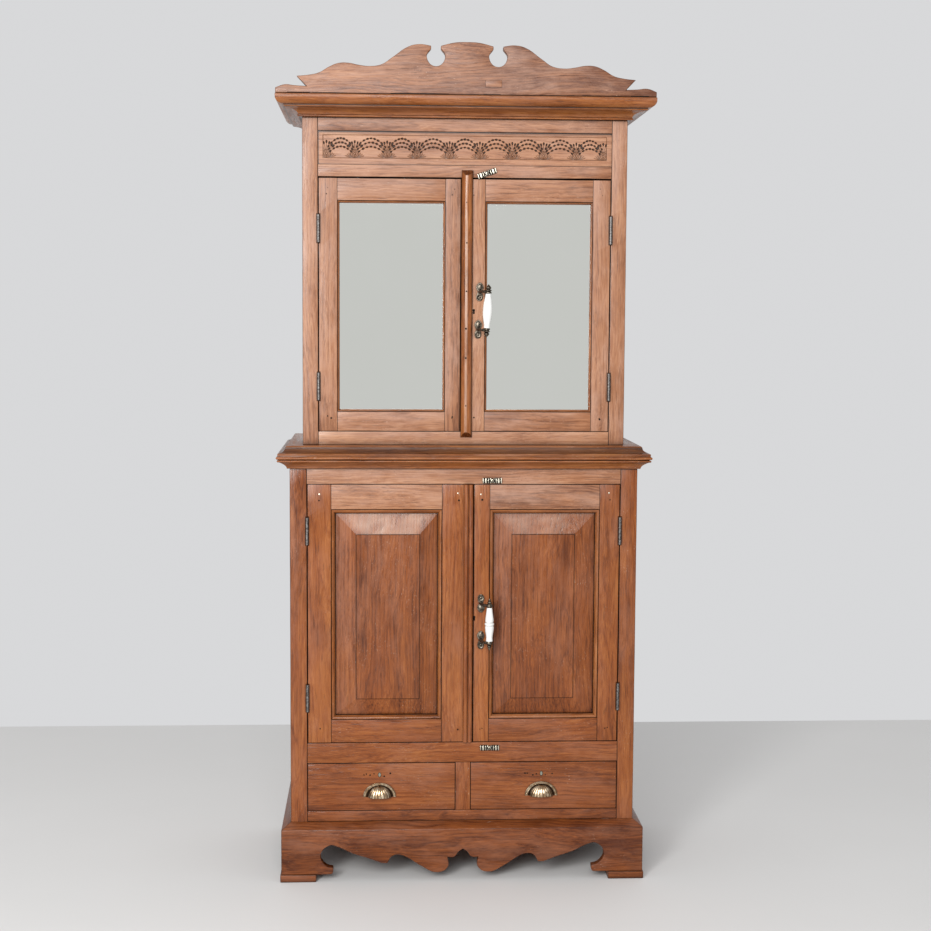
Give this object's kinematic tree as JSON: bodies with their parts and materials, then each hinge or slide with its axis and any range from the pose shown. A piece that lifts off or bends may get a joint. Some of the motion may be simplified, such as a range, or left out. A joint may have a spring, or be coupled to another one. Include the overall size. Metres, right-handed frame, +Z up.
{
  "type": "armoire",
  "caption": "Step-back armoire: mirrored upper doors under a scroll-cut crest, panelled lower doors, drawers and a scalloped plinth, with working doors, drawers and catches.",
  "frame": {"origin": "on the floor, at the middle of the overall footprint, handles included", "axes": "+Z up, front towards -Y, +X to the right of someone facing the doors"},
  "size_m": [0.973, 0.502, 2.1743],
  "materials": {
    "upper_wood": "worn satin",
    "lower_wood": "worn satin",
    "moulding_wood": "waxed",
    "inside_wood": "bare",
    "mirror_glass": "polished",
    "brass": "aged",
    "dark_bronze": "darkened",
    "hinge_steel": "aged",
    "white_ceramic": "glazed"
  },
  "bodies": {
    "carcass": {"plinth_front": "lower_wood", "plinth_left": "lower_wood", "plinth_right": "lower_wood", "foot_front_left": "lower_wood", "foot_front_right": "lower_wood", "foot_rear_bar": "inside_wood", "lower_post_left": "lower_wood", "lower_post_right": "lower_wood", "lower_side_left": "lower_wood", "lower_side_right": "lower_wood", "lower_back": "inside_wood", "base_board": "lower_wood", "cupboard_floor": "inside_wood", "lower_top_rail": "lower_wood", "middle_rail": "lower_wood", "drawer_divider": "lower_wood", "waist_top": "moulding_wood", "upper_post_left": "upper_wood", "upper_post_right": "upper_wood", "upper_side_left": "upper_wood", "upper_side_right": "upper_wood", "upper_back": "inside_wood", "upper_bottom_rail": "upper_wood", "frieze_lower_rail": "upper_wood", "frieze_panel": "upper_wood", "frieze_top_rail": "upper_wood", "upper_shelf": "inside_wood", "cornice": "moulding_wood", "crest": "upper_wood", "lower_hinge_left_low": "hinge_steel", "lower_hinge_left_high": "hinge_steel", "lower_hinge_right_low": "hinge_steel", "lower_hinge_right_high": "hinge_steel", "upper_hinge_left_low": "hinge_steel", "upper_hinge_left_high": "hinge_steel", "upper_hinge_right_low": "hinge_steel", "upper_hinge_right_high": "hinge_steel"},
    "lower_left_door": {"lower_door_frame_left": "lower_wood", "lower_door_panel_left": "lower_wood", "meeting_bead": "lower_wood"},
    "lower_right_door": {"lower_door_frame_right": "lower_wood", "lower_door_panel_right": "lower_wood", "lower_handle_bar": "dark_bronze", "lower_handle_grip": "white_ceramic"},
    "upper_left_door": {"upper_door_frame_left": "upper_wood", "mirror_left": "mirror_glass"},
    "upper_right_door": {"upper_door_frame_right": "upper_wood", "mirror_right": "mirror_glass", "astragal": "moulding_wood", "upper_handle_bar": "dark_bronze", "upper_handle_grip": "white_ceramic"},
    "left_drawer": {"drawer_front_left": "lower_wood", "drawer_tray_left": "inside_wood", "cup_pull_left": "brass"},
    "right_drawer": {"drawer_front_right": "lower_wood", "drawer_tray_right": "inside_wood", "cup_pull_right": "brass"},
    "upper_turn_button": {"turn_button_upper": "brass"},
    "door_top_turn_button": {"turn_button_door_top": "brass"},
    "door_foot_turn_button": {"turn_button_door_foot": "brass"}
  },
  "joints": [
    {"name": "lower_left_door_hinge", "type": "hinge", "parent": "carcass", "child": "lower_left_door", "pos_m": [-0.408, -0.2031, 0.7045], "axis": [0, 0, -1], "range_deg": [0, 105]},
    {"name": "lower_right_door_hinge", "type": "hinge", "parent": "carcass", "child": "lower_right_door", "pos_m": [0.408, -0.2031, 0.7045], "axis": [0, 0, 1], "range_deg": [0, 105]},
    {"name": "upper_left_door_hinge", "type": "hinge", "parent": "carcass", "child": "upper_left_door", "pos_m": [-0.3785, -0.1701, 1.499], "axis": [0, 0, -1], "range_deg": [0, 105]},
    {"name": "upper_right_door_hinge", "type": "hinge", "parent": "carcass", "child": "upper_right_door", "pos_m": [0.3785, -0.1701, 1.499], "axis": [0, 0, 1], "range_deg": [0, 105]},
    {"name": "left_drawer_slide", "type": "slide", "parent": "carcass", "child": "left_drawer", "axis": [0, -1, 0], "range_m": [0, 0.28]},
    {"name": "right_drawer_slide", "type": "slide", "parent": "carcass", "child": "right_drawer", "axis": [0, -1, 0], "range_m": [0, 0.28]},
    {"name": "upper_turn_button_pivot", "type": "hinge", "parent": "carcass", "child": "upper_turn_button", "pos_m": [0.056, -0.1698, 1.8515], "axis": [0, -1, 0], "range_deg": [-20, 70]},
    {"name": "door_top_turn_button_pivot", "type": "hinge", "parent": "carcass", "child": "door_top_turn_button", "pos_m": [0.0725, -0.2028, 1.0585], "axis": [0, -1, 0], "range_deg": [0, 90]},
    {"name": "door_foot_turn_button_pivot", "type": "hinge", "parent": "carcass", "child": "door_foot_turn_button", "pos_m": [0.07, -0.2028, 0.3505], "axis": [0, -1, 0], "range_deg": [0, 90]}
  ]
}
